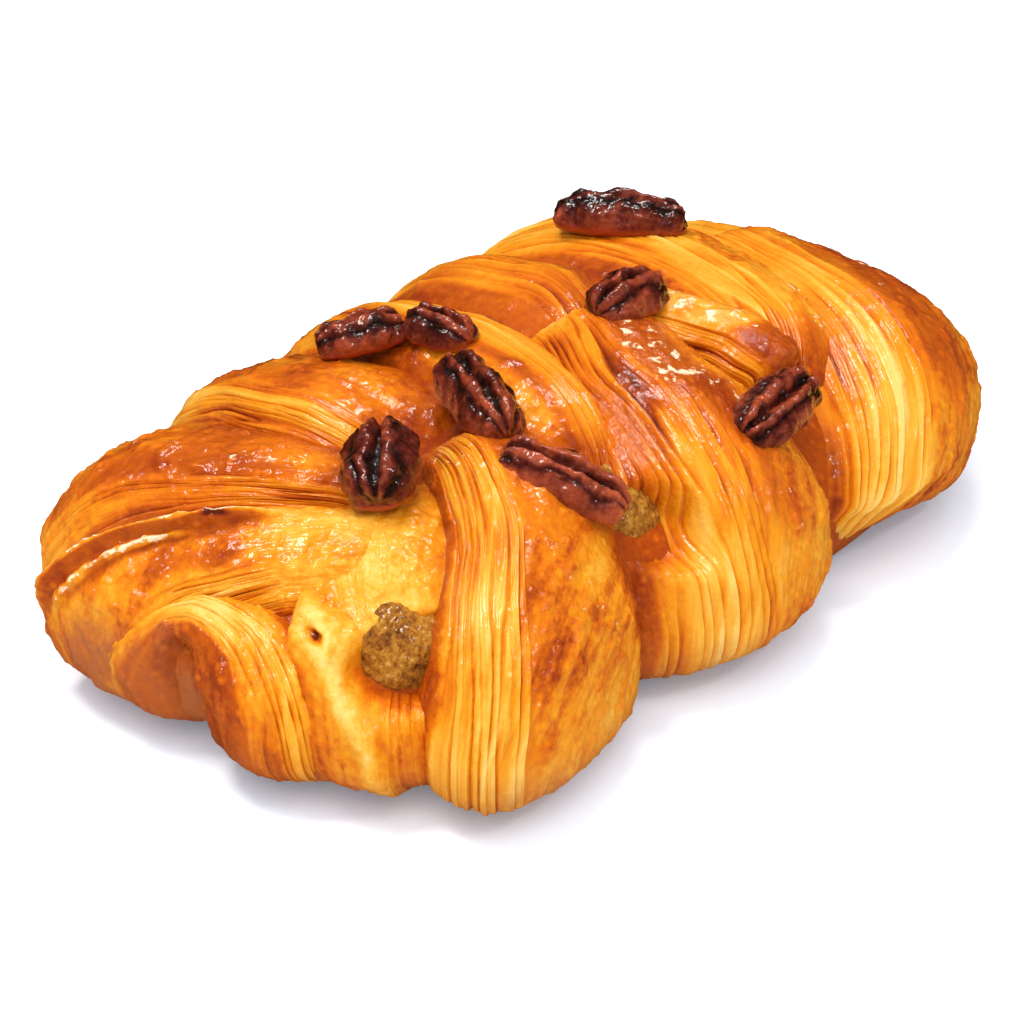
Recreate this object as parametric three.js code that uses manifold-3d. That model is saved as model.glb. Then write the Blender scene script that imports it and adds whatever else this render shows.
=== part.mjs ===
// A plaited pecan danish: bands of laminated dough folded over a nut filling, with glazed pecan pieces on top.
// Millimetres, +Z up. X runs along the pastry, Y across it, and the origin is at the middle of its base.
import * as THREE from "three";
import { mergeVertices } from "three/addons/utils/BufferGeometryUtils.js";
import Module from "manifold-3d";

const wasm = await Module();
wasm.setup();

// Overall size of the baked pastry
const pastryLength = 135;
const pastryWidth = 81;
const pastryHeight = 34.5;
const bellyHeight = 10.5; // height of the widest outline

// How square the pastry is: in plan, over the top and under the belly
const planPower = 3.4;
const topPower = 2.05;
const underPower = 5;

// The surface laid out flat: half its length and width, and the share of the way out at which the belly lies
const flatHalfLength = 87;
const flatHalfWidth = 62;
const bellyShare = 0.85;
const tuckShare = 0.85; // how far round the under side the surface goes
const tuckDrop = 0.64; // how quickly the surface drops to the base under the belly
const farthestOut = 0.999; // the share of the way out at which the layout ends

// Depths below the outer form
const coreDepth = 4.6;
const bandEdgeDepth = 6.5;
const bandUnderDepth = 9;
const bandFloor = 0.25; // the bands end this far above the flat base

const gap = 0.3; // between pieces that touch

const ridgeDepth = 0.45; // of the layers of dough that show on a cut face

const quarter = Math.PI / 2;
const lerp = (a, b, share) => a + (b - a) * share;
const clamp01 = (value) => Math.min(1, Math.max(0, value));
const smooth = (value) => clamp01(value) ** 2 * (3 - 2 * clamp01(value));

// A point of the rounded form that lies inset mm inside the outer one, from its place on the flat layout
function onForm(flatX, flatY, inset, floor = 0) {
  const x = flatX / flatHalfLength;
  const y = flatY / flatHalfWidth;
  const far = Math.pow(Math.abs(x) ** planPower + Math.abs(y) ** planPower, 1 / planPower) + 1e-9;
  const out = Math.min(far, farthestOut);
  let reach, z;
  if (out < bellyShare) {
    const turn = (out / bellyShare) * quarter;
    reach = Math.sin(turn) ** (2 / topPower);
    z = bellyHeight + (pastryHeight - inset - bellyHeight) * Math.cos(turn) ** (2 / topPower);
  } else {
    const turn = ((out - bellyShare) / (1 - bellyShare)) * quarter;
    reach = Math.cos(turn * tuckShare) ** (2 / underPower);
    z = bellyHeight - (bellyHeight - floor) * Math.sin(turn) ** tuckDrop;
  }
  return new THREE.Vector3(
    (x / far) * (pastryLength / 2 - inset) * reach,
    (y / far) * (pastryWidth / 2 - inset) * reach,
    z,
  );
}

// The outward direction of the form at a place on the flat layout
function outward(flatX, flatY) {
  const step = 0.5; // mm on the layout
  const here = onForm(flatX, flatY, 0);
  const alongX = onForm(flatX + step, flatY, 0).sub(here);
  const alongY = onForm(flatX, flatY + step, 0).sub(here);
  return alongX.cross(alongY).normalize();
}

// Turns corner lists into a solid
function solidFrom(points, faces) {
  let geometry = new THREE.BufferGeometry();
  geometry.setAttribute("position", new THREE.Float32BufferAttribute(points.flatMap((p) => [p.x, p.y, p.z]), 3));
  geometry.setIndex(faces);
  geometry = mergeVertices(geometry, 1e-4);
  return new wasm.Manifold(new wasm.Mesh({
    numProp: 3,
    vertProperties: geometry.attributes.position.array,
    triVerts: new Uint32Array(geometry.index.array),
  }));
}

// A closed slab between a grid of upper points and a grid of lower ones
function slab(upper, lower) {
  const rows = upper.length;
  const columns = upper[0].length;
  const points = [...upper.flat(), ...lower.flat()];
  const top = (i, j) => i * columns + j;
  const under = (i, j) => rows * columns + i * columns + j;
  const faces = [];
  const quad = (a, b, c, d) => faces.push(a, b, c, a, c, d);
  for (let i = 0; i + 1 < rows; i++) {
    for (let j = 0; j + 1 < columns; j++) {
      quad(top(i, j), top(i, j + 1), top(i + 1, j + 1), top(i + 1, j));
      quad(under(i, j), under(i + 1, j), under(i + 1, j + 1), under(i, j + 1));
    }
    quad(top(i, 0), top(i + 1, 0), under(i + 1, 0), under(i, 0));
    quad(top(i + 1, columns - 1), top(i, columns - 1), under(i, columns - 1), under(i + 1, columns - 1));
  }
  for (let j = 0; j + 1 < columns; j++) {
    quad(top(0, j + 1), top(0, j), under(0, j), under(0, j + 1));
    quad(top(rows - 1, j), top(rows - 1, j + 1), under(rows - 1, j + 1), under(rows - 1, j));
  }
  return solidFrom(points, faces);
}

// A closed body of rings between two end points
function ringBody(startPoint, rings, endPoint) {
  const around = rings[0].length;
  const points = [startPoint, ...rings.flat(), endPoint];
  const last = points.length - 1;
  const at = (i, j) => 1 + i * around + (j % around);
  const faces = [];
  for (let j = 0; j < around; j++) {
    faces.push(0, at(0, j + 1), at(0, j));
    faces.push(last, at(rings.length - 1, j), at(rings.length - 1, j + 1));
    for (let i = 0; i + 1 < rings.length; i++) {
      faces.push(at(i, j), at(i, j + 1), at(i + 1, j + 1), at(i, j), at(i + 1, j + 1), at(i + 1, j));
    }
  }
  return solidFrom(points, faces);
}

// A curve through the flat layout: start, the point that it bends towards, end
function bend([start, towards, end], along) {
  const a = (1 - along) ** 2;
  const b = 2 * along * (1 - along);
  const c = along ** 2;
  return [a * start[0] + b * towards[0] + c * end[0], a * start[1] + b * towards[1] + c * end[1]];
}

// Hollows in the dough where the filling shows: place on the flat layout, half length and width, depth
const hollows = {
  besideNearFlap: { at: [-49.5, -31], size: [9, 7.5], depth: 5 },
  underFrontMiddle: { at: [-13.5, -33], size: [6, 10], depth: 4.2 },
};
const hollowFloor = 0.55; // the share of its half size over which a hollow is at its deepest
const hollowSlope = 0.6; // the share over which it then comes up

function hollowDepth(flatX, flatY) {
  return Object.values(hollows).reduce((depth, hollow) => {
    const away = Math.hypot((flatX - hollow.at[0]) / hollow.size[0], (flatY - hollow.at[1]) / hollow.size[1]);
    return depth + hollow.depth * (1 - smooth((away - hollowFloor) / hollowSlope));
  }, 0);
}

// Bands of dough. near and far are the edges of a band on the flat layout, each from its root to its tip.
// crest is the share of the width at which the band stands highest, tipCrest the same at its tip, rise its height
// there over the outer form at the root and at the tip, and cut the stretch of the width where the cut layers show as
// ridges. A lip is a raised edge of baked dough that runs along a band, at a share of its width.
const bands = {
  frontNear: {
    near: [[-22, -2], [-26, -22], [-86, -51]], far: [[-10, -8], [-13, -30], [-26, -60]],
    crest: 0.42, rise: [0.9, 8], cut: [0.12, 0.44], ridges: 4, rootLength: 0.2,
  },
  frontMiddle: {
    near: [[-1, 4], [-13, -18], [-31, -60]], far: [[12, -2], [10, -30], [21, -58]],
    crest: 0.5, rise: [1, 3.6], cut: [0.24, 0.5], ridges: 4, rootLength: 0.1, hollowed: true,
  },
  frontFar: {
    near: [[34, 14], [13, -16], [17, -55]], far: [[76, 8], [74, -30], [70, -54]],
    crest: 0.34, rise: [2, 0.6], cut: [0.05, 0.26], ridges: 4, rootLength: 0.12,
  },
  backOne: {
    near: [[-34, -12], [-38, 14], [-84, 42]], far: [[-23, -5], [-24, 16], [-36, 60]],
    crest: 0.55, rise: [-0.4, 3], cut: [0.12, 0.4], ridges: 2, rootLength: 0.3,
  },
  backTwo: {
    near: [[-30, -2], [-27, 16], [-41, 60]], far: [[-10, -8], [-7, 14], [-13, 60]],
    crest: 0.5, rise: [0, 0.6], cut: [0.14, 0.42], ridges: 2, rootLength: 0.3,
  },
  backThree: {
    near: [[-20, -20], [-8, 8], [-19, 60]], far: [[-9, -30], [9, 4], [8, 60]],
    crest: 0.5, rise: [0.8, 0.4], cut: [0.55, 0.85], ridges: 3, rootLength: 0.25,
  },
  backFour: {
    near: [[-5, -10], [0, 12], [2, 60]], far: [[13, -2], [20, 14], [24, 60]],
    crest: 0.55, rise: [-0.2, 1], cut: [0.3, 0.7], ridges: 2, rootLength: 0.3,
  },
  backFive: {
    near: [[10, -26], [16, 4], [16, 60]], far: [[20, -36], [46, -2], [47, 60]],
    crest: 0.56, rise: [0.2, 1.6], cut: [0.2, 0.54], ridges: 3, rootLength: 0.25,
  },
  backSix: {
    near: [[34, 4], [40, 20], [42, 60]], far: [[62, 0], [82, 20], [78, 52]],
    crest: 0.5, rise: [1.4, 1], cut: [0.15, 0.45], ridges: 2, rootLength: 0.2,
  },
  farTuck: {
    near: [[52, -14], [72, -34], [82, -52]], far: [[52, 14], [76, 26], [86, 38]],
    crest: 0.5, rise: [0, 3], cut: [0.6, 0.85], ridges: 2, rootLength: 0.3,
  },
  heartRoll: {
    near: [[5, 3], [6, -8], [12, -24]], far: [[18, 3], [27, -6], [22, -24]],
    crest: 0.6, rise: [0.6, 0.6], cut: [0.15, 0.5], ridges: 1, rootLength: 0.2,
  },
  nearLobe: {
    near: [[-46, -26], [-53, 5], [-86, -12]], far: [[-30, -13], [-34, 14], [-82, 44]],
    crest: 0.8, rise: [-0.6, 1.6], cut: [0.12, 0.52], ridges: 3, rootLength: 0.12, hollowed: true,
    lip: { at: 0.87, from: 0.2, to: 0.98, height: 4.4, front: 0.05, back: 0.03 },
  },
  nearTurn: {
    near: [[-88, -2], [-38, 6], [-84, -8]], far: [[-83, 28], [-17, -7], [-78, -31.5]],
    crest: 0.4, tipCrest: 0.5, fullness: 0.8, edgeDepth: 4, rise: [0.2, 2], cut: [0.5, 0.9], ridges: 2,
    rootLength: 0.05, hollowed: true,
  },
  nearFlap: {
    near: [[-36, 0], [-53, -6], [-60, -22]], far: [[-22, -6], [-26, -30], [-50, -42]],
    crest: 0.5, rise: [-1.4, -1.4], cut: [0.3, 0.6], ridges: 1, rootLength: 0.2, hollowed: true,
  },
  nearSkirt: {
    near: [[-44, -8], [-58, -14], [-80, -27]], far: [[-48, -34], [-56, -44], [-72, -56]],
    crest: 0.12, tipCrest: 0.5, rise: [-1.2, 0.6], cut: [0.55, 0.8], ridges: 1, rootLength: 0.25, hollowed: true,
  },
};
const bandRows = 14;
const edgeColumns = 3; // between the edge and the cut face
const backColumns = 5; // between the cut face and the far edge
const tipLength = 0.08; // the share of a band's length over which its tip thins out
const cutFullness = 0.75; // how plump a band is on its cut side and on its far side, lower being plumper
const backFullness = 0.6;
const crestShift = { from: 0.3, over: 0.4 }; // the stretch of a band's length where its crest moves across
const lipShape = { rampUp: 0.15, rampDown: 0.25, sharpness: 1.5, foot: 2 }; // ramps as shares of the band's length

// How high a band stands at a share of its width, from 0 at the edges to 1 at the crest
function sectionAt(across, crest, fullness) {
  if (across < crest) return Math.sin((across / crest) * quarter) ** fullness;
  return Math.sin(((1 - across) / (1 - crest)) * quarter) ** backFullness;
}

// How far a lip adds to the height of its band
function lipRise({ at, from, to, height, front, back }, along, across) {
  const reach = smooth((along - from) / lipShape.rampUp) * smooth((to - along) / lipShape.rampDown);
  const offset = across - at;
  return height * reach * Math.exp(-((Math.abs(offset) / (offset < 0 ? front : back)) ** lipShape.sharpness));
}

function bandSolid(band) {
  const { near, far, crest, rise, cut, ridges, rootLength, lip } = band;
  const { tipCrest = crest, fullness = cutFullness, edgeDepth = bandEdgeDepth, hollowed = false } = band;
  const columns = [];
  for (let j = 0; j < edgeColumns; j++) columns.push([(cut[0] * j) / edgeColumns, 0]);
  const ridgeSteps = 2 * ridges;
  for (let j = 0; j <= ridgeSteps; j++) columns.push([lerp(cut[0], cut[1], j / ridgeSteps), j % 2]);
  for (let j = 1; j <= backColumns; j++) columns.push([lerp(cut[1], 1, j / backColumns), 0]);
  if (lip) {
    const lipFoot = lip.at - lipShape.foot * lip.front;
    while (columns.at(-1)[0] >= lipFoot) columns.pop();
    for (const across of [lipFoot, lip.at - lip.front / 2, lip.at, lip.at + lip.back, 1]) columns.push([across, 0]);
  }

  const upper = [];
  const lower = [];
  for (let i = 0; i <= bandRows; i++) {
    const along = i / bandRows;
    const a = bend(near, along);
    const b = bend(far, along);
    const ends = Math.sqrt(smooth(along / rootLength) * smooth((1 - along) / tipLength));
    const places = columns.map(([across]) => [lerp(a[0], b[0], across), lerp(a[1], b[1], across)]);
    const crestHere = lerp(crest, tipCrest, smooth((along - crestShift.from) / crestShift.over));
    upper.push(columns.map(([across, ridge], j) => {
      const top = lerp(...rise, along) + (lip ? lipRise(lip, along, across) : 0);
      const height = lerp(-edgeDepth, top, sectionAt(across, crestHere, fullness) * ends);
      const sunk = hollowed ? hollowDepth(...places[j]) : 0;
      return onForm(...places[j], sunk - height - ridge * ridgeDepth, bandFloor);
    }));
    lower.push(places.map(([x, y]) => onForm(x, y, bandUnderDepth, bandFloor + 1)));
  }
  const [acrossX, acrossY] = [far[1][0] - near[1][0], far[1][1] - near[1][1]];
  const [alongX, alongY] = [near[2][0] - near[0][0], near[2][1] - near[0][1]];
  const facesOut = acrossX * alongY - acrossY * alongX > 0;
  const mirrored = (rows) => rows.map((row) => [...row].reverse());
  return facesOut ? slab(upper, lower) : slab(mirrored(upper), mirrored(lower));
}

// The rounded body of dough under the bands
const coreRings = 12;
const coreSides = 32;
function coreSolid() {
  const rings = [];
  for (let i = 1; i <= coreRings; i++) {
    const out = i / coreRings;
    rings.push(Array.from({ length: coreSides }, (_, j) => {
      const turn = (-j / coreSides) * 2 * Math.PI;
      const x = Math.cos(turn);
      const y = Math.sin(turn);
      const edge = Math.pow(Math.abs(x) ** planPower + Math.abs(y) ** planPower, -1 / planPower);
      return onForm(x * edge * flatHalfLength * out, y * edge * flatHalfWidth * out, coreDepth);
    }));
  }
  return ringBody(onForm(0, 0, coreDepth), rings, new THREE.Vector3(0, 0, 0));
}

// The nut filling: a lumpy roll along the pastry, with a lobe up to each gap in the dough where it shows
const filling = {
  start: -54, end: 52, middleY: -2, middleZ: 15, width: 24, height: 13, rings: 14, sides: 16,
  lumps: 0.08, lumpTurns: 3, fullness: 0.5,
};
const fillingLobes = {
  besideNearFlap: { at: [-49.5, -31], from: [-42, -6, 13], width: 16, depth: 3.4 },
  underFrontMiddle: { at: [-13.5, -33], from: [-14, -6, 14], width: 14, depth: 2.6 },
};
const lobeRings = 7;
const lobeSides = 12;
const lobeFullness = 0.8;

// Rings round a straight line, each as wide as radiusAt says
function rollSolid(from, to, rings, sides, radiusAt) {
  const axis = to.clone().sub(from).normalize();
  const side = new THREE.Vector3(0, 0, 1).cross(axis).normalize();
  const up = axis.clone().cross(side);
  const loops = [];
  for (let i = 1; i < rings; i++) {
    const share = (1 - Math.cos((Math.PI * i) / rings)) / 2;
    loops.push(Array.from({ length: sides }, (_, j) => {
      const turn = (2 * Math.PI * j) / sides;
      const [wide, high] = radiusAt(share, turn);
      return from.clone().lerp(to, share)
        .addScaledVector(side, Math.cos(turn) * wide)
        .addScaledVector(up, Math.sin(turn) * high);
    }));
  }
  return ringBody(from, loops, to);
}

const roundEnds = (share) => Math.sqrt(Math.max(0, 1 - (2 * share - 1) ** 2));

function fillingSolid(extra) {
  const { start, end, middleY, middleZ, width, height, rings, sides, lumps, lumpTurns, fullness } = filling;
  const roll = rollSolid(
    new THREE.Vector3(start - extra, middleY, middleZ), new THREE.Vector3(end + extra, middleY, middleZ), rings, sides,
    (share, turn) => {
      const swell = roundEnds(share) ** fullness * (1 + lumps * Math.sin(4 * quarter * lumpTurns * share + 2 * turn));
      return [(width / 2) * swell + extra, (height / 2) * swell + extra];
    },
  );
  const lobes = Object.values(fillingLobes).map(({ at, from, width: wide, depth }) => {
    const top = onForm(...at, depth - extra);
    return rollSolid(new THREE.Vector3(...from), top, lobeRings, lobeSides, (share) => {
      const radius = (wide / 2) * roundEnds(share) ** lobeFullness + extra;
      return [radius, radius];
    });
  });
  return wasm.Manifold.union([roll, ...lobes]);
}

// Pecan pieces. at is the place on the flat layout, turn the heading of the long axis in degrees from +X, size the
// length, width and height, and lift how far the widest part lies above the outer form.
const pecans = {
  pecan_1: { at: [24.5, 12], turn: -61, size: [19, 8.4, 5.4], lift: 0.8 },
  pecan_2: { at: [7.3, -4.6], turn: 0, size: [13, 8.8, 5], lift: 0.7 },
  pecan_3: { at: [7.8, -27.4], turn: 8, size: [16.5, 8.8, 5], lift: 0.9 },
  pecan_4: { at: [-11.7, 12.4], turn: -38, size: [12.5, 7.8, 4.6], lift: 0.4 },
  pecan_5: { at: [-7.6, 5.2], turn: -88, size: [10.5, 7.4, 4.4], lift: 0.7 },
  pecan_6: { at: [-14.3, -6.9], turn: -115, size: [18, 8.8, 5.3], lift: 0.7 },
  pecan_7: { at: [-17.9, -21.6], turn: -70, size: [17.4, 8.2, 5], lift: 0.7 },
  pecan_8: { at: [-27, -6.2], turn: -142, size: [14.5, 10.2, 5.6], lift: 0.4 },
};
const pecanRings = 9;
const pecanSides = 16;
const pecanUnderShare = 0.4; // the flat side's bulge as a share of the height
const grooveDepth = 0.34;
const grooveWidth = 0.26;
const wrinkleDepth = 0.07;
const wrinkleTurns = 4; // along a nut
const wrinkleShift = 1.2; // between its two lobes, in radians
const pecanFullness = 0.6;

// Half a pecan: two ridged lobes with a deep groove between them
function pecanSolid({ at, turn, size, lift }, extra) {
  const [length, width, height] = size;
  const up = outward(...at);
  const heading = new THREE.Vector3(Math.cos((turn * Math.PI) / 180), Math.sin((turn * Math.PI) / 180), 0);
  const side = up.clone().cross(heading).normalize();
  const long = side.clone().cross(up);
  const middle = onForm(...at, -lift);
  const place = (u, v, w) => middle.clone().addScaledVector(long, u).addScaledVector(side, v).addScaledVector(up, w);
  const loops = [];
  for (let i = 1; i < pecanRings; i++) {
    const share = i / pecanRings;
    const swell = Math.sin(Math.PI * share) ** pecanFullness;
    loops.push(Array.from({ length: pecanSides }, (_, j) => {
      const angle = (2 * Math.PI * j) / pecanSides;
      const [across, rise] = [Math.cos(angle), Math.sin(angle)];
      const groove = grooveDepth * Math.exp(-((across / grooveWidth) ** 2));
      const phase = 4 * quarter * wrinkleTurns * share + Math.sign(across) * wrinkleShift;
      const wrinkle = 1 + wrinkleDepth * Math.sin(phase);
      const thick = rise > 0 ? height * (1 - groove) * wrinkle : height * pecanUnderShare;
      const along = -Math.cos(Math.PI * share) * (length / 2 + extra);
      return place(along, across * ((width / 2) * swell * wrinkle + extra), rise * (thick + extra) * swell);
    }));
  }
  return ringBody(place(-length / 2 - extra, 0, 0), loops, place(length / 2 + extra, 0, 0));
}

// The largest body of a solid, without loose scraps
function largest(solid) {
  return solid.decompose().sort((a, b) => b.volume() - a.volume())[0];
}

const nuts = Object.entries(pecans).map(([name, nut]) => (
  { name, solid: pecanSolid(nut, 0), room: pecanSolid(nut, gap) }
));
nuts.forEach((nut, i) => {
  for (const earlier of nuts.slice(0, i)) nut.solid = nut.solid.subtract(earlier.room);
});

const allDough = wasm.Manifold.union([coreSolid(), ...Object.values(bands).map(bandSolid)]);
const dough = nuts.reduce((body, nut) => body.subtract(nut.room), allDough.subtract(fillingSolid(gap)));
const core = nuts.reduce((body, nut) => body.subtract(nut.room), fillingSolid(0));

const group = new THREE.Group();
function addNode(name, solid, material) {
  const mesh = largest(solid).getMesh();
  const geometry = new THREE.BufferGeometry();
  geometry.setAttribute("position", new THREE.BufferAttribute(mesh.vertProperties, 3));
  geometry.setIndex(new THREE.BufferAttribute(mesh.triVerts, 1));
  geometry.computeVertexNormals();
  const node = new THREE.Mesh(geometry, material);
  node.name = name;
  group.add(node);
}

addNode("dough", dough, new THREE.MeshStandardMaterial({ color: 0xd98c2e, roughness: 0.4 }));
addNode("filling", core, new THREE.MeshStandardMaterial({ color: 0x8a6a35, roughness: 0.5 }));
for (const { name, solid } of nuts) {
  addNode(name, solid, new THREE.MeshStandardMaterial({ color: 0x4a1a10, roughness: 0.3 }));
}

export default group;
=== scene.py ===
# Looks for the pecan danish: bands of flaky dough, nut filling, glazed pecans, light and camera
import math
import bmesh
import bpy
import numpy as np
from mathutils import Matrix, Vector


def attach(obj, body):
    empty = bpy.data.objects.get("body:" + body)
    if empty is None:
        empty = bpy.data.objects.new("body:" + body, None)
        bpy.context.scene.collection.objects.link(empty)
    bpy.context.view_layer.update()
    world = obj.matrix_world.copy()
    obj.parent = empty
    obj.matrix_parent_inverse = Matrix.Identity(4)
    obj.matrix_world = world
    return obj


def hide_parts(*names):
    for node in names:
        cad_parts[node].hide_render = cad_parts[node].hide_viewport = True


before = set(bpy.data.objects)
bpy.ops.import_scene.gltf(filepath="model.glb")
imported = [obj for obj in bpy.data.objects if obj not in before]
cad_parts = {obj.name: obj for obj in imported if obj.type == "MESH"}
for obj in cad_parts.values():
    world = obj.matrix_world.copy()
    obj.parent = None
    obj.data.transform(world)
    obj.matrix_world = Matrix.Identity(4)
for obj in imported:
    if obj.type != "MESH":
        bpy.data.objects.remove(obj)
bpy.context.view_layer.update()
mm = 0.001
tiny = 1e-9
print("frame loaded:", sorted(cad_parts))

# The rounded form under everything, in mm, the same numbers as the solid
form = {
    "length": 135, "width": 81, "height": 34.5, "bellyHeight": 10.5,
    "planPower": 3.4, "topPower": 2.05, "underPower": 5,
    "flatHalfLength": 87, "flatHalfWidth": 62, "bellyShare": 0.85,
    "tuckShare": 0.85, "tuckDrop": 0.64, "farthestOut": 0.999,
}


# Points of the form, inset mm inside its outer skin, from places on the flat layout
def onForm(flatX, flatY, inset, floor=0.0):
    x = np.asarray(flatX, float) / form["flatHalfLength"]
    y = np.asarray(flatY, float) / form["flatHalfWidth"]
    power = form["planPower"]
    far = (np.abs(x) ** power + np.abs(y) ** power) ** (1 / power) + tiny
    out = np.minimum(far, form["farthestOut"])
    share = form["bellyShare"]
    upper = out < share
    topTurn = np.clip(out / share, 0, 1) * math.pi / 2
    underTurn = np.clip((out - share) / (1 - share), 0, 1) * math.pi / 2
    topReach = np.sin(topTurn) ** (2 / form["topPower"])
    underReach = np.cos(underTurn * form["tuckShare"]) ** (2 / form["underPower"])
    reach = np.where(upper, topReach, underReach)
    belly = form["bellyHeight"]
    topZ = belly + (form["height"] - inset - belly) * np.abs(np.cos(topTurn)) ** (2 / form["topPower"])
    underZ = belly - (belly - floor) * np.sin(underTurn) ** form["tuckDrop"]
    pointX = x / far * (form["length"] / 2 - inset) * reach
    pointY = y / far * (form["width"] / 2 - inset) * reach
    return np.stack([pointX, pointY, np.where(upper, topZ, underZ)], -1)


def outward(flatX, flatY):
    step = 0.5
    here = onForm(flatX, flatY, 0)
    alongX = onForm(flatX + step, flatY, 0) - here
    alongY = onForm(flatX, flatY + step, 0) - here
    normal = np.cross(alongX, alongY)
    return normal / np.linalg.norm(normal)


def smoothStep(value):
    value = np.clip(value, 0, 1)
    return value * value * (3 - 2 * value)


# 1 between low and high, fading out over soft at both ends
def between(value, low, high, soft):
    return smoothStep((value - low) / soft + 0.5) * smoothStep((high - value) / soft + 0.5)


def bell(value, middle, width):
    return np.exp(-((value - middle) / width) ** 2)


def mix(a, b, share):
    return a + (b - a) * share


# Soft seeded unevenness between -1 and 1, with lumps about size across
def softNoise(x, y, size, seed):
    side, shiftX, shiftY = 64, 17.3, 5.9
    table = np.random.default_rng(seed).uniform(-1, 1, (side, side))
    x, y = np.asarray(x, float) / size + shiftX, np.asarray(y, float) / size + shiftY
    column, row = np.floor(x).astype(int), np.floor(y).astype(int)
    shareX, shareY = smoothStep(x - column), smoothStep(y - row)

    def corner(up, over):
        return table[(row + up) % side, (column + over) % side]

    return mix(mix(corner(0, 0), corner(0, 1), shareX), mix(corner(1, 0), corner(1, 1), shareX), shareY)


# A closed mesh from rings of points between two end points; columns of values become attributes
def ringMesh(name, rings, attributes=None):
    rows, around = rings.shape[:2]
    points = np.concatenate([rings.reshape(-1, 3), rings[:1].mean(1), rings[-1:].mean(1)])
    start, end = np.full(around, rows * around), np.full(around, rows * around + 1)
    here = np.arange(rows * around).reshape(rows, around)
    beside = np.roll(here, -1, 1)
    quads = np.stack([here[:-1], beside[:-1], beside[1:], here[1:]], -1).reshape(-1, 4)
    startFan = np.stack([start, beside[0], here[0]], -1)
    endFan = np.stack([end, here[-1], beside[-1]], -1)
    mesh = bpy.data.meshes.new(name)
    mesh.from_pydata(points.tolist(), [], quads.tolist() + startFan.tolist() + endFan.tolist())
    for key, values in (attributes or {}).items():
        layer = mesh.attributes.new(key, "FLOAT", "POINT")
        ends = [values[0].mean(), values[-1].mean()]
        layer.data.foreach_set("value", np.concatenate([values.ravel(), ends]).astype(np.float32))
    piece = linked(name, mesh)
    if signedVolume(mesh) < 0:
        mesh.flip_normals()
    mesh.shade_smooth()
    return piece


def linked(name, data):
    piece = bpy.data.objects.new(name, data)
    bpy.context.scene.collection.objects.link(piece)
    return piece


def signedVolume(mesh):
    solid = bmesh.new()
    solid.from_mesh(mesh)
    volume = solid.calc_volume(signed=True)
    solid.free()
    return volume


# A node with its inputs set or linked, for material and geometry trees alike
def addNode(tree, kind, inputs=None, **settings):
    node = tree.nodes.new(kind)
    for key, value in settings.items():
        setattr(node, key, value)
    setInputs(tree, node, inputs or {})
    return node


def setInputs(tree, node, inputs):
    for key, value in inputs.items():
        if isinstance(value, bpy.types.NodeSocket):
            tree.links.new(value, node.inputs[key])
        else:
            node.inputs[key].default_value = value


# A node in the tree that its linked inputs come from
def derive(kind, inputs, **settings):
    source = next(value for value in inputs.values() if isinstance(value, bpy.types.NodeSocket))
    return addNode(source.id_data, kind, inputs, **settings)


# A chain of math nodes, such as the sum of several values
def calc(operation, value, *others):
    for other in others or [0.0]:
        value = derive("ShaderNodeMath", {0: value, 1: other}, operation=operation).outputs[0]
    return value


def plus(*values):
    return calc("ADD", *values)


def times(*values):
    return calc("MULTIPLY", *values)


def minus(a, b):
    return calc("SUBTRACT", a, b)


def centred(value, amount):
    return times(minus(value, 0.5), amount)


def vector(x, y, z=0.0):
    return derive("ShaderNodeCombineXYZ", {0: x, 1: y, 2: z}).outputs[0]


def remap(value, low, high, toLow=0.0, toHigh=1.0):
    inputs = {"Value": value, "From Min": low, "From Max": high, "To Min": toLow, "To Max": toHigh}
    return derive("ShaderNodeMapRange", inputs, interpolation_type="SMOOTHSTEP").outputs[0]


def noise(where, scale, detail=2.0, roughness=0.5):
    inputs = {"Vector": where, "Scale": scale, "Detail": detail, "Roughness": roughness}
    return derive("ShaderNodeTexNoise", inputs).outputs[0]


def heightOf(where):
    return derive("ShaderNodeSeparateXYZ", {0: where}).outputs["Z"]


# Runs a geometry tree on a piece and keeps the result as its plain mesh
def applyTree(piece, tree, settings):
    modifier = piece.modifiers.new(tree.name, "NODES")
    modifier.node_group = tree
    for item in tree.interface.items_tree:
        if item.item_type == "SOCKET" and item.in_out == "INPUT" and item.name in settings:
            modifier[item.identifier] = settings[item.name]
    bpy.context.view_layer.update()
    graph = bpy.context.evaluated_depsgraph_get()
    mesh = bpy.data.meshes.new_from_object(piece.evaluated_get(graph))
    piece.modifiers.remove(modifier)
    old = piece.data
    piece.data = mesh
    bpy.data.meshes.remove(old)
    mesh.name = piece.name
    mesh.shade_smooth()
    return piece


def newTree(name, inputs):
    tree = bpy.data.node_groups.new(name, "GeometryNodeTree")
    tree.interface.new_socket("Geometry", in_out="INPUT", socket_type="NodeSocketGeometry")
    for key, value in inputs.items():
        kind = "NodeSocketInt" if isinstance(value, int) else "NodeSocketFloat"
        if isinstance(value, bpy.types.Material):
            kind = "NodeSocketMaterial"
        tree.interface.new_socket(key, in_out="INPUT", socket_type=kind).default_value = value
    tree.interface.new_socket("Geometry", in_out="OUTPUT", socket_type="NodeSocketGeometry")
    source = tree.nodes.new("NodeGroupInput")
    return tree, source.outputs


def named(tree, name):
    return addNode(tree, "GeometryNodeInputNamedAttribute", {"Name": name}, data_type="FLOAT").outputs[0]


def place(tree):
    return addNode(tree, "GeometryNodeInputPosition").outputs[0]


def refine(tree, given):
    inputs = {"Mesh": given["Geometry"], "Level": given["Detail"]}
    return addNode(tree, "GeometryNodeSubdivisionSurface", inputs).outputs[0]


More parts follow.
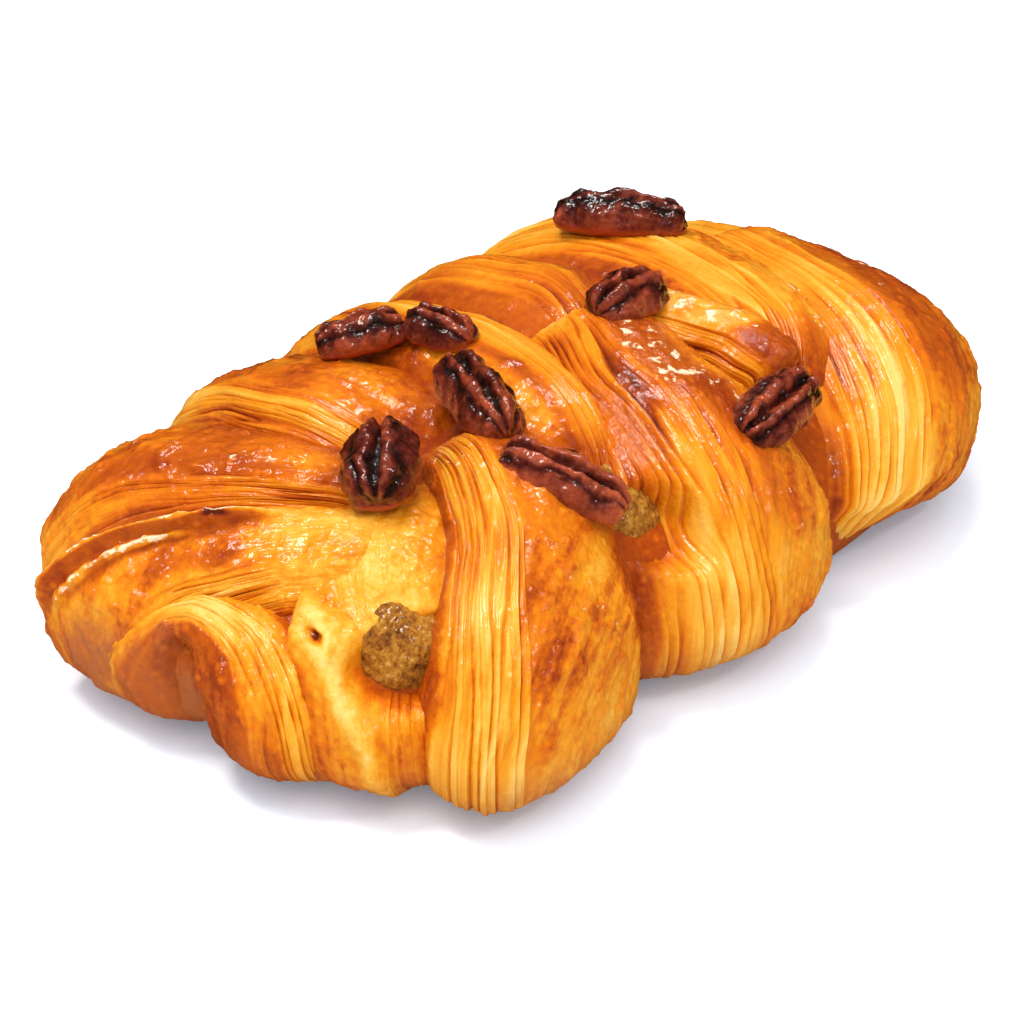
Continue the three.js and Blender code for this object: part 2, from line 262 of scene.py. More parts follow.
# Moves the points of a geometry out along their normals, by rise in mm
def pushOut(tree, geometry, rise):
    normal = addNode(tree, "GeometryNodeInputNormal").outputs[0]
    inputs = {0: normal, "Scale": times(rise, mm)}
    offset = addNode(tree, "ShaderNodeVectorMath", inputs, operation="SCALE").outputs[0]
    return addNode(tree, "GeometryNodeSetPosition", {"Geometry": geometry, "Offset": offset}).outputs[0]


def store(tree, geometry, name, value):
    inputs = {"Geometry": geometry, "Name": name, "Value": value}
    kind = "GeometryNodeStoreNamedAttribute"
    return addNode(tree, kind, inputs, data_type="FLOAT", domain="POINT").outputs[0]


def finishTree(tree, geometry, material):
    real = addNode(tree, "GeometryNodeRealizeInstances", {"Geometry": geometry}).outputs[0]
    painted = addNode(tree, "GeometryNodeSetMaterial", {"Geometry": real, "Material": material}).outputs[0]
    addNode(tree, "NodeGroupOutput", {0: painted})


def newMaterial(name):
    material = bpy.data.materials.new(name)
    material.use_nodes = True
    tree = material.node_tree
    where = addNode(tree, "ShaderNodeTexCoord").outputs["Object"]
    return material, tree, tree.nodes["Principled BSDF"], where


def attribute(tree, name):
    return addNode(tree, "ShaderNodeAttribute", attribute_name=name).outputs["Fac"]


# Colours along a value, from tones that each have a place and a colour
def rampOf(value, tones):
    node = derive("ShaderNodeValToRGB", {0: value})
    elements = node.color_ramp.elements
    stops = list(tones.values())
    elements[0].position, elements[0].color = stops[0]
    elements[1].position, elements[1].color = stops[-1]
    for position, colour in stops[1:-1]:
        elements.new(position).color = colour
    return node.outputs[0]


def blend(share, a, b):
    return derive("ShaderNodeMix", {0: share, 6: a, 7: b}, data_type="RGBA").outputs[2]


def bumpOf(height, strength, distance):
    inputs = {"Strength": strength, "Distance": distance, "Height": height}
    return derive("ShaderNodeBump", inputs).outputs[0]


# Dough material: pale cut layers, golden skin, browned crests, all under an uneven sugar glaze. Patterns are
# scale, detail and roughness; ranges are from and to, with the results there if they aren't 0 and 1.
doughLook = {
    "tones": {
        "paleCream": (0.0, (0.86, 0.52, 0.13, 1)), "straw": (0.2, (0.83, 0.38, 0.035, 1)),
        "golden": (0.42, (0.76, 0.25, 0.006, 1)), "amber": (0.66, (0.62, 0.125, 0.002, 1)),
        "brown": (0.86, (0.33, 0.04, 0.002, 1)), "dark": (1.0, (0.11, 0.013, 0.002, 1)),
    },
    "mottle": (330, 4, 0.6), "speck": (1000, 3, 0.6), "cloud": (75, 3, 0.55), "streak": (0.7, 2, 0.5),
    "streakAlong": 0.045, "skinPatterns": {"mottle": 0.5, "speck": 0.5, "cloud": 0.4, "streak": 0.4},
    "toastPattern": (0.2, 5, 0.62), "toastAlong": 0.4, "toastDrift": 9.0, "toastClouds": 0.35,
    "toastRange": (0.48, 0.6), "toast": 0.24, "toastyRange": (0.42, 0.56, 0.2, 1.0),
    "calmRange": (0.6, 0.78, 1.0, 0.3),
    "poreSize": 620, "poreRange": (0.1, 0.45, 1.0, 0.0), "porePlaces": (0.45, 0.6), "pore": 0.12,
    "cutTone": 0.3, "layerTone": -0.44, "cutBrowning": 0.75,
    "cutPatterns": {"sheet": 0.8, "streak": 0.6, "cloud": 0.5, "speck": 0.2},
    "tan": (0.40, 0.108, 0.03, 1), "tanRange": (0.002, 0.011, 0.75, 0.0), "tanWander": 0.012,
    "tanMottle": (0.35, 0.6, 0.55, 1.0),
    "sugarGlint": (0.95, 0.72, 0.45, 1), "sugarGlintPattern": (420, 3, 0.7), "sugarGlintRange": (0.53, 0.62),
    "sugarGlintSpread": 0.3, "pimples": (1700, 4, 0.6), "pimpleSpecks": 1.5, "skinBump": (0.35, 0.0004),
    "roughness": (0.3, 0.7, 0.4, 0.6),
    "glazeWet": 0.5, "glazeRange": (0.45, 0.75, 0.1, 0.8), "glazeHeights": (0.006, 0.022, 0.15, 1.0),
    "glazeRoughness": (0.35, 0.65, 0.05, 0.16), "glazeSpecks": 0.6, "glazeThick": 2.5,
    "glazeBump": (1.0, 0.00016),
    "shader": {
        "Coat IOR": 1.5, "Specular IOR Level": 0.08, "Subsurface Weight": 0.1,
        "Subsurface Radius": (1.0, 0.4, 0.1), "Subsurface Scale": 0.002,
    },
}


def doughMaterial():
    look = doughLook
    material, tree, shader, where = newMaterial("bakedDough")
    browning, layer, cut = (attribute(tree, name) for name in ("browning", "layer", "cutMask"))
    along, across = attribute(tree, "alongMm"), attribute(tree, "acrossMm")
    patterns = {name: noise(where, *look[name]) for name in ("mottle", "speck", "cloud")}
    mottle, speck, cloud = patterns.values()
    streaked = vector(times(along, look["streakAlong"]), across)
    patterns["streak"] = noise(streaked, *look["streak"])
    patterns["sheet"] = attribute(tree, "sheet")

    # baked skin, with toasted patches and dark pores
    brushed = vector(times(along, look["toastAlong"]), across, times(cloud, look["toastDrift"]))
    toast = plus(noise(brushed, *look["toastPattern"]), centred(cloud, look["toastClouds"]))
    toast = centred(remap(toast, *look["toastRange"]), look["toast"])
    calm = remap(browning, *look["calmRange"])
    toasty = times(remap(browning, *look["toastyRange"]), calm)
    pore = derive("ShaderNodeTexVoronoi", {"Vector": where, "Scale": look["poreSize"]}).outputs["Distance"]
    pore = times(remap(pore, *look["poreRange"]), remap(mottle, *look["porePlaces"]))
    skin = plus(browning, times(toast, toasty))
    skin = minus(skin, times(pore, look["pore"]))
    for name, amount in look["skinPatterns"].items():
        skin = plus(skin, times(centred(patterns[name], amount), calm))

    # cut layers, darker deep between the sheets: partly their own colour, partly painted shade in the gaps
    cutTone = plus(times(layer, look["layerTone"]), look["cutTone"])
    for name, amount in look["cutPatterns"].items():
        cutTone = plus(cutTone, centred(patterns[name], amount))
    cutTone = plus(cutTone, times(browning, look["cutBrowning"]))
    tone = derive("ShaderNodeMix", {0: cut, 2: skin, 3: cutTone}).outputs[0]
    colour = rampOf(tone, look["tones"])

    # tan near the base; crackled sugar where it sparkles, pale flecks that also stand in for painted glints
    low = plus(heightOf(where), centred(cloud, look["tanWander"]))
    low = calc("MAXIMUM", remap(low, *look["tanRange"]), attribute(tree, "tan"))
    low = times(low, remap(mottle, *look["tanMottle"]))
    colour = blend(low, colour, look["tan"])
    lack = times(minus(1.0, attribute(tree, "sparkle")), look["sugarGlintSpread"])
    sugarGlint = minus(noise(where, *look["sugarGlintPattern"]), lack)
    colour = blend(remap(sugarGlint, *look["sugarGlintRange"]), colour, look["sugarGlint"])

    # the coat of glaze, thick and rippled where it is glossy, thin low down
    height = plus(noise(where, *look["pimples"]), times(speck, look["pimpleSpecks"]))
    gloss = attribute(tree, "gloss")
    ripple = plus(mottle, times(speck, look["glazeSpecks"]))
    ripple = times(ripple, plus(times(gloss, look["glazeThick"]), 1.0))
    wet = plus(cloud, times(browning, look["glazeWet"]))
    glazedTop = remap(heightOf(where), *look["glazeHeights"])
    glazed = times(remap(wet, *look["glazeRange"]), glazedTop)
    setInputs(tree, shader, {
        "Base Color": colour, "Normal": bumpOf(height, *look["skinBump"]),
        "Roughness": remap(mottle, *look["roughness"]),
        "Coat Weight": calc("MAXIMUM", gloss, glazed),
        "Coat Roughness": remap(speck, *look["glazeRoughness"]),
        "Coat Normal": bumpOf(ripple, *look["glazeBump"]), **look["shader"],
    })
    return material


dough = doughMaterial()

# Fine relief of a band: overlapping sheets on its cut face, long wrinkles and blisters on its baked skin
relief = {
    "Layers": 9.0, "SheetHeight": 0.75, "SheetWander": 4.6, "SheetWobble": 0.5, "SheetSteps": 1.2,
    "LineHeight": 0.09, "WrinkleHeight": 0.7, "BlisterHeight": 0.4, "BlisterSize": 330.0,
    "PimpleHeight": 0.3, "PimpleSize": 900.0,
}

# Its patterns are scale along the band, scale of the other value, size and detail
reliefShape = {
    "wander": (0.016, 2.6, 1.0, 1), "wobble": (0.075, 5.0, 1.0, 2), "fade": (0.05, 6.0, 1.0, 2),
    "sheet": (0.03, 3.7, 1.0, 1), "steps": (0.06, 1.0, 1.0, 1), "wrinkle": (0.12, 1.0, 0.55, 3),
    "sheetPower": 0.6, "sheetEdge": (0.78, 1.0, 1.0, 0.0), "fadeRange": (0.35, 0.6, 0.2, 1.0),
    "sheetMiddle": 0.6, "linesPerSheet": 3, "lineShade": (0.0, 0.8, 0.9, 1.0), "blisterRange": (0.48, 0.72),
    "skinLostOnCut": 0.7, "baseRange": (0.0008, 0.0045),
}


def reliefTree():
    shape = reliefShape
    tree, given = newTree("flakyRelief", {**relief, "Detail": 2, "Seed": 0.0, "Material": dough})
    along, across = named(tree, "alongMm"), named(tree, "acrossMm")
    cutShare, cut, top = named(tree, "cutShare"), named(tree, "cutMask"), named(tree, "topMask")
    where = place(tree)

    def onBand(pattern, value):
        alongScale, valueScale, size, detail = shape[pattern]
        spot = vector(times(along, alongScale), times(value, valueScale), given["Seed"])
        return noise(spot, size, detail)

    # sheets: each rises slowly from under its neighbour and ends in a sharp edge
    wander = centred(onBand("wander", cutShare), given["SheetWander"])
    wobble = centred(onBand("wobble", cutShare), given["SheetWobble"])
    phase = plus(times(cutShare, given["Layers"]), plus(wander, wobble))
    number = calc("FLOOR", phase)
    within = minus(phase, number)
    slope = times(calc("POWER", within, shape["sheetPower"]), remap(within, *shape["sheetEdge"]))
    fade = remap(onBand("fade", cutShare), *shape["fadeRange"])
    layer = minus(1.0, times(minus(1.0, slope), fade))
    lines = calc("ABSOLUTE", calc("SINE", times(phase, shape["linesPerSheet"] * math.pi)))
    sheet = onBand("sheet", number)
    steps = centred(onBand("steps", number), given["SheetSteps"])
    sheetRise = times(minus(layer, shape["sheetMiddle"]), given["SheetHeight"])
    lineRise = times(minus(lines, shape["sheetMiddle"]), given["LineHeight"])
    sheetRise = times(plus(sheetRise, lineRise, steps), cut)

    # baked skin
    wrinkle = centred(onBand("wrinkle", across), given["WrinkleHeight"])
    blister = remap(noise(where, given["BlisterSize"]), *shape["blisterRange"])
    pimple = centred(noise(where, given["PimpleSize"]), given["PimpleHeight"])
    skinRise = plus(wrinkle, times(blister, given["BlisterHeight"]), pimple)
    skinRise = times(skinRise, minus(1.0, times(cut, shape["skinLostOnCut"])))
    top = times(top, remap(heightOf(where), *shape["baseRange"]))
    moved = pushOut(tree, refine(tree, given), times(plus(sheetRise, skinRise), top))
    layer = times(layer, remap(lines, *shape["lineShade"]))
    finishTree(tree, store(tree, store(tree, moved, "layer", layer), "sheet", sheet), given["Material"])
    return tree


flakyRelief = reliefTree()

# Shape shared by all the bands, in mm and shares
bandShape = {
    "edgeDepth": 6.5, "underDepth": 9, "underFloor": 1.25, "floor": 0.25, "tipLength": 0.08,
    "cutFullness": 0.75, "backFullness": 0.6, "crestFrom": 0.3, "crestOver": 0.4,
    "rows": 56, "edgeColumns": 8, "cutColumns": 34, "backColumns": 24, "underColumns": 6, "coarse": 0.62,
    "noiseLength": 60, "noiseWidth": 2, "waver": 0.7, "waverSize": 9, "waverWay": (1.0, 0.3),
    "swell": 0.5, "swellSize": 11, "topStart": 0.05,
    "cutSoft": 0.06, "cutStart": 0.15, "ragged": 0.03, "raggedSize": 6,
}

# Colour shared by all the bands: glows beside the cut face and high up, blotches, painted shade in creases,
# base, painted dark in slits and sugar flecks that also stand in for painted glints
bandTone = {
    "crestGlow": 0.1, "crestAt": 0.07, "crestWidth": 0.09, "edgeGlow": 0.24, "edgeAt": 0.05,
    "edgeWidth": 0.05, "highGlow": 0.2, "highFrom": 12, "highOver": 18, "blotch": 0.1, "blotchSize": 7,
    "creaseShade": 0.46, "creaseFrom": 0.5, "creaseOver": 4, "creaseLowest": 4, "creaseFade": 8,
    "base": 0.16, "baseTop": 9, "baseFade": 7, "brownest": 0.82, "slitShade": 1.15, "slitShadeSpread": 1.4,
    "sparkle": 0.72, "sparkleAt": 0.18, "sparkleWidth": 0.2,
}

# Sharp lips along a band: columns of points, ends and profile, pale edge that is also a painted highlight
# line, brown below it, gloss and sugar flecks that are also painted glints
lipShape = {
    "columns": 18, "before": 4, "after": 3, "start": 0.15, "end": 0.25, "power": 1.5, "edge": 0.016,
    "pale": 0.6, "brownAt": 1.1, "brownWidth": 1.3, "glossWidth": 3, "sparkle": 1.4,
}

# Hollows in the dough where the filling shows: place on the flat layout, half length and width, depth, in mm
hollows = {
    "besideFlap": {"at": (-49.3, -30.4), "size": (10, 8.4), "depth": 5},
    "underMiddle": {"at": (-12.6, -34), "size": (5, 8), "depth": 5},
}
hollowEdge = {"from": 0.55, "over": 0.6}

# Small openings between folds, painted dark inside as shade: their two ends on the flat layout, half width and
# depth, all in mm
slits = {
    "besideTurn": {"from": (-49.3, -14.6), "to": (-52.6, -18.7), "width": 0.4, "depth": 2.5},
    "behindLip": {"from": (-40.6, 3.4), "to": (-41.2, 4.4), "width": 0.35, "depth": 1},
}

whole = (-1, 2)


# A soft patch of a band, by its reach along and across: by is how much browner it is, smooth how far it
# loses its layers, lift its rise in mm, drift its slant, and tan, gloss and sparkle how much of each it has
# sparkle is pale sugar flecks that also stand in for painted glints
def patch(along, across, **effects):
    plain = {"by": 0, "smooth": 0, "lift": 0, "drift": 0, "tan": 0, "gloss": 0, "sparkle": 0, "soft": 0.12}
    return {**plain, "along": along, "across": across, **effects}


# Each band: its edges on the flat layout from root to tip, the share of its width at the crest, its rise at
# root and tip, where its layers show, how many, how far the root slopes in, and how brown it is. Hollowed
# bands have the hollows and slits, glow is how much they glow, and coarse ones have fewer points.
bands = {
    "frontNear": {
        "near": [(-22, -2), (-26, -22), (-86, -51)], "far": [(-10, -8), (-13, -30), (-29, -60)],
        "crest": 0.42, "tipCrest": 0.37, "rise": (0.9, 7.7), "cut": (0.12, 0.44), "layers": 8, "root": 0.2,
        "brown": 0.5, "tones": [
            patch((0.3, 0.9), (-1, 0.07), by=0.22),
            patch((0.35, 0.85), (0.6, 2), by=0.1),
            patch((0.05, 0.3), (0.1, 0.9), by=0.06, gloss=0.8, sparkle=0.76),
            patch((0.42, 0.8), (0.58, 0.84), gloss=0.6, sparkle=0.66),
        ],
    },
    "frontMiddle": {
        "near": [(-1, 4), (-13, -18), (-31, -60)], "far": [(12, -2), (10, -30), (21, -58)],
        "crest": 0.5, "rise": (1, 3.6), "cut": (0.1, 0.54), "layers": 11, "root": 0.1, "brown": 0.5,
        "fullness": 0.9, "hollowed": True, "tones": [
            patch((0.12, 0.62), (0.06, 0.54), by=0.32, soft=0.2),
            patch((0.3, 0.5), (0.16, 0.26), by=0.2, smooth=0.8, gloss=1),
            patch((0.54, 0.85), (-1, 0.16), by=-0.06, smooth=1, gloss=0.7),
            patch((0.12, 0.42), (0.42, 0.7), by=0.18, smooth=1, gloss=1, sparkle=1),
            patch((-1, 0.07), (-1, 0.45), by=-0.75, smooth=1, lift=1),
            patch((0.4, 0.95), (0.31, 0.38), by=-0.24, soft=0.06, lift=0.5),
            patch((0.7, 0.95), (0.14, 0.3), by=-0.1),
            patch((0.66, 2), (0.4, 0.54), by=0.12),
            patch((0.3, 0.8), (0.58, 0.9), by=0.1, soft=0.3),
            patch((0.5, 0.8), (0.55, 0.8), gloss=0.6, sparkle=0.66),
        ],
    },
    "frontFar": {
        "near": [(34, 14), (13, -16), (17, -55)], "far": [(76, 8), (74, -30), (70, -54)],
        "crest": 0.34, "rise": (2, 1.8), "cut": (0.05, 0.26), "layers": 8, "root": 0.12, "brown": 0.48,
        "tones": [
            patch((0.3, 0.65), (0.04, 0.2), by=-0.04),
            patch((0.65, 2), (0.04, 0.24), by=-0.18),
            patch((-1, 0.45), (0.36, 0.8), by=0.22, gloss=0.7, sparkle=0.74),
            patch((0.3, 2), (0.32, 2), by=0.18, soft=0.3),
        ],
    },
    "backOne": {
        "near": [(-34, -12), (-38, 14), (-84, 42)], "far": [(-23, -5), (-24, 16), (-36, 60)],
        "crest": 0.55, "rise": (-0.4, 3), "cut": (0.12, 0.4), "layers": 6, "root": 0.3, "brown": 0.48,
        "tones": [
            patch((0.3, 2), whole, by=0.16, smooth=0.6, soft=0.4),
            # painted shade: the near edge darker where it lies behind the lip
            patch((0.3, 2), (-1, 0.2), by=0.12, tan=0.3),
        ],
    },
    "backTwo": {
        "near": [(-30, -2), (-27, 16), (-41, 60)], "far": [(-10, -8), (-7, 14), (-13, 60)],
        "crest": 0.5, "rise": (0, 0.6), "cut": (0.14, 0.42), "layers": 7, "root": 0.3, "brown": 0.52,
        "coarse": True,
    },
    "backThree": {
        "near": [(-20, -20), (-8, 8), (-19, 60)], "far": [(-10, -30), (6.5, 3), (8, 60)],
        "crest": 0.5, "rise": (0.8, 0.4), "cut": (0.55, 0.85), "layers": 6, "root": 0.25, "brown": 0.52,
    },
    "backFour": {
        "near": [(-5, -10), (0, 12), (2, 60)], "far": [(13, -2), (20, 14), (24, 60)],
        "crest": 0.55, "rise": (-0.2, 1), "cut": (0.3, 0.7), "layers": 6, "root": 0.3, "brown": 0.64,
        "coarse": True, "tones": [patch(whole, whole, by=0.02, smooth=0.2)],
    },
    "backFive": {
        "near": [(10, -26), (16, 4), (16, 60)], "far": [(20, -36), (46, -2), (47, 60)],
        "crest": 0.56, "rise": (0.2, 1.6), "cut": (0.2, 0.54), "layers": 7, "root": 0.25, "brown": 0.42,
        "tones": [patch((-1, 0.2), whole, by=0.12)],
    },
    "backSix": {
        "near": [(34, 4), (40, 20), (42, 60)], "far": [(62, 0), (82, 20), (78, 52)],
        "crest": 0.5, "rise": (1.4, 1), "cut": (0.15, 0.45), "layers": 8, "root": 0.2, "brown": 0.48,
        "coarse": True,
    },
    "farTuck": {
        "near": [(52, -14), (72, -34), (82, -52)], "far": [(52, 14), (76, 26), (86, 38)],
        "crest": 0.5, "rise": (0, 4), "cut": (0.6, 0.85), "layers": 7, "root": 0.3, "brown": 0.5,
        "coarse": True,
    },
    "heartRoll": {
        "near": [(5, 3), (6, -8), (12, -24)], "far": [(15, 0), (22, -9), (21, -24)],
        "crest": 0.36, "rise": (0.8, 1.6), "cut": (0.0, 0.22), "layers": 4, "root": 0.2, "brown": 0.5,
        "coarse": True, "tones": [
            patch((-1, 0.72), (0.24, 0.55), by=-0.28, smooth=0.8, gloss=1, sparkle=1),
            patch((0.74, 2), (0.2, 0.7), by=0.3, smooth=1, gloss=1, sparkle=0.6),
            patch((-1, 0.7), (0.6, 2), by=0.14, smooth=1),
        ],
    },
    "nearLobe": {
        "near": [(-46, -26), (-53, 5), (-86, -12)], "far": [(-30, -13), (-34, 14), (-82, 44)],
        "crest": 0.8, "rise": (-0.6, 1.6), "cut": (0.12, 0.52), "layers": 9, "root": 0.12, "brown": 0.46,
        "hollowed": True,
        "lips": [
            {"at": 0.87, "from": 0.2, "to": 0.93, "height": 4.8, "front": 0.045, "back": 0.016, "brown": 0.56},
            # this low lip's pale edge is painted as a second highlight line under the first
            {"at": 0.79, "from": 0.36, "to": 0.9, "height": 1.1, "front": 0.016, "back": 0.016, "brown": 0.1},
        ],
        "tones": [
            patch((0.62, 2), (-1, 0.3), by=0.5, smooth=1, soft=0.2),
            patch((-1, 0.32), whole, by=-0.34, smooth=1),
            patch((0.6, 2), whole, by=0.12, smooth=0.8),
            patch((0.75, 2), (-1, 0.7), by=0.1, tan=0.9, soft=0.2),
            patch((0.3, 0.62), (0.56, 0.76), by=0.16, smooth=1, soft=0.2),
        ],
    },
    "nearTurn": {
        "near": [(-90, -1), (-38, 6), (-90, -9)], "far": [(-88, 30), (-17, -7), (-84, -35)],
        "crest": 0.4, "tipCrest": 0.5, "fullness": 0.8, "edgeDepth": 3, "rise": (0.2, 2), "cut": (0.5, 0.95),
        "layers": 7, "root": 0.05, "brown": 0.44, "hollowed": True, "tones": [
            patch((-1, 0.42), (-1, 0.6), by=0.3, smooth=1, tan=0.45, soft=0.2),
            patch((-1, 0.3), whole, by=0.06, smooth=0.9, soft=0.3),
            # painted shade: the arm beside the slit darker, as if in its shadow
            patch((-1, 0.5), (-1, 0.16), by=0.5, smooth=1),
            patch((0.12, 0.5), (-1, 0.34), by=0.34, smooth=1),
            patch((0.45, 2), (-1, 0.54), by=0.56, smooth=1, gloss=0.4),
            patch((0.62, 2), (-1, 0.8), by=0.1, soft=0.25, smooth=0.6, gloss=0.5, sparkle=0.3),
            patch((0.3, 0.62), (0.5, 2), by=-0.14, smooth=0.3),
            patch((0.66, 2), (0.5, 0.8), by=0.18, soft=0.2, gloss=0.6),
        ],
    },
    "nearFlap": {
        "near": [(-36, 0), (-53, -6), (-60, -22)], "far": [(-22, -6), (-26, -30), (-50, -42)],
        "crest": 0.5, "rise": (-1.4, -1.4), "cut": (0.3, 0.6), "layers": 3, "root": 0.2, "brown": 0.18,
        "hollowed": True, "glow": 0, "tones": [patch(whole, whole, by=0.03, smooth=0.9)],
    },
    "nearSkirt": {
        "near": [(-44, -8), (-58, -14), (-80, -27)], "far": [(-48, -34), (-56, -44), (-72, -56)],
        "crest": 0.12, "tipCrest": 0.5, "edgeDepth": 3, "rise": (-1, 0.2), "cut": (0.55, 0.8), "layers": 3,
        "root": 0.25, "brown": 0.42, "hollowed": True, "glow": 0.2, "tones": [
            patch(whole, whole, smooth=0.7),
            patch((-1, 0.34), whole, by=-0.2, soft=0.2),
            patch((0.3, 2), (-0.3, 0.22), drift=0.5, by=0.26, soft=0.14),
            patch((0.1, 2), (0.31, 0.43), drift=0.5, by=-0.36, soft=0.1, lift=1.2),
            patch((0.5, 2), (0.6, 2), by=0.2, soft=0.3, gloss=0.5),
        ],
    },
}


# How far each place lies in a slit, from 0 to 1
def slitShare(flatX, flatY, slit):
    start, end = np.array(slit["from"], float), np.array(slit["to"], float)
    reach = end - start
    share = ((flatX - start[0]) * reach[0] + (flatY - start[1]) * reach[1]) / (reach ** 2).sum()
    nearest = start + np.clip(share, 0, 1)[..., None] * reach
    return bell(np.hypot(flatX - nearest[..., 0], flatY - nearest[..., 1]), 0, slit["width"])


# How deep the hollows and slits are at each place, and how far it lies in a slit
def openingsAt(flatX, flatY):
    depth, opened = np.zeros(flatX.shape), np.zeros(flatX.shape)
    for hollow in hollows.values():
        (x, y), (halfLength, halfWidth) = hollow["at"], hollow["size"]
        away = np.hypot((flatX - x) / halfLength, (flatY - y) / halfWidth)
        depth = depth + hollow["depth"] * (1 - smoothStep((away - hollowEdge["from"]) / hollowEdge["over"]))
    for slit in slits.values():
        share = slitShare(flatX, flatY, slit)
        depth = depth + slit["depth"] * share
        opened = np.maximum(opened, share)
    return depth, opened


def bend(points, along):
    start, towards, end = (np.array(p, float) for p in points)
    along = along[..., None]
    return (1 - along) ** 2 * start + 2 * along * (1 - along) * towards + along ** 2 * end


def sectionAt(across, crest, fullness):
    low = np.sin(np.clip(across / crest, 0, 1) * math.pi / 2) ** fullness
    high = np.sin(np.clip((1 - across) / (1 - crest), 0, 1) * math.pi / 2) ** bandShape["backFullness"]
    return np.where(across < crest, low, high)


# How far each place of a band lies in a soft patch
def patchShare(along, across, spot):
    across = across - spot["drift"] * (along - 0.5)
    return between(along, *spot["along"], spot["soft"]) * between(across, *spot["across"], spot["soft"])


# Places across the top of a band, close together on its cut face and at its lips
def placesAcross(band, detail):
    shape = bandShape
    cutFrom, cutTo = band["cut"]
    places = np.concatenate([
        np.linspace(0, cutFrom, int(shape["edgeColumns"] * detail), endpoint=False),
        np.linspace(cutFrom, cutTo, int(shape["cutColumns"] * detail), endpoint=False),
        np.linspace(cutTo, 1, int(shape["backColumns"] * detail)),
    ])
    for lip in band.get("lips", []):
        start = lip["at"] - lipShape["before"] * lip["front"]
        end = lip["at"] + lipShape["after"] * lip["back"]
        kept = places[(places < start) | (places > end)]
        places = np.sort(np.append(kept, np.linspace(start, end, lipShape["columns"])))
    return places


# The rise and browning that a band's lips add, with a pale edge that is also a painted highlight line, and the
# gloss and sparkle that they have
def lipsOn(band, along, across):
    shape = lipShape
    rise, shade, gloss, sparkle = np.zeros((4, *along.shape))
    for lip in band.get("lips", []):
        reach = smoothStep((along - lip["from"]) / shape["start"])
        reach = reach * smoothStep((lip["to"] - along) / shape["end"])
        offset, front = across - lip["at"], lip["front"]
        width = np.where(offset < 0, front, lip["back"])
        below = bell(offset, -shape["brownAt"] * front, shape["brownWidth"] * front)
        # pale edge along the lip's top, also a painted highlight line
        edge = bell(offset, 0, shape["edge"])
        rise = rise + lip["height"] * np.exp(-np.abs(offset / width) ** shape["power"]) * reach
        shade = shade + (lip["brown"] * below - shape["pale"] * edge) * reach
        gloss = np.maximum(gloss, reach * bell(offset, 0, shape["glossWidth"] * front))
        sparkle = np.maximum(sparkle, shape["sparkle"] * edge * reach)
    return rise, shade, gloss, sparkle


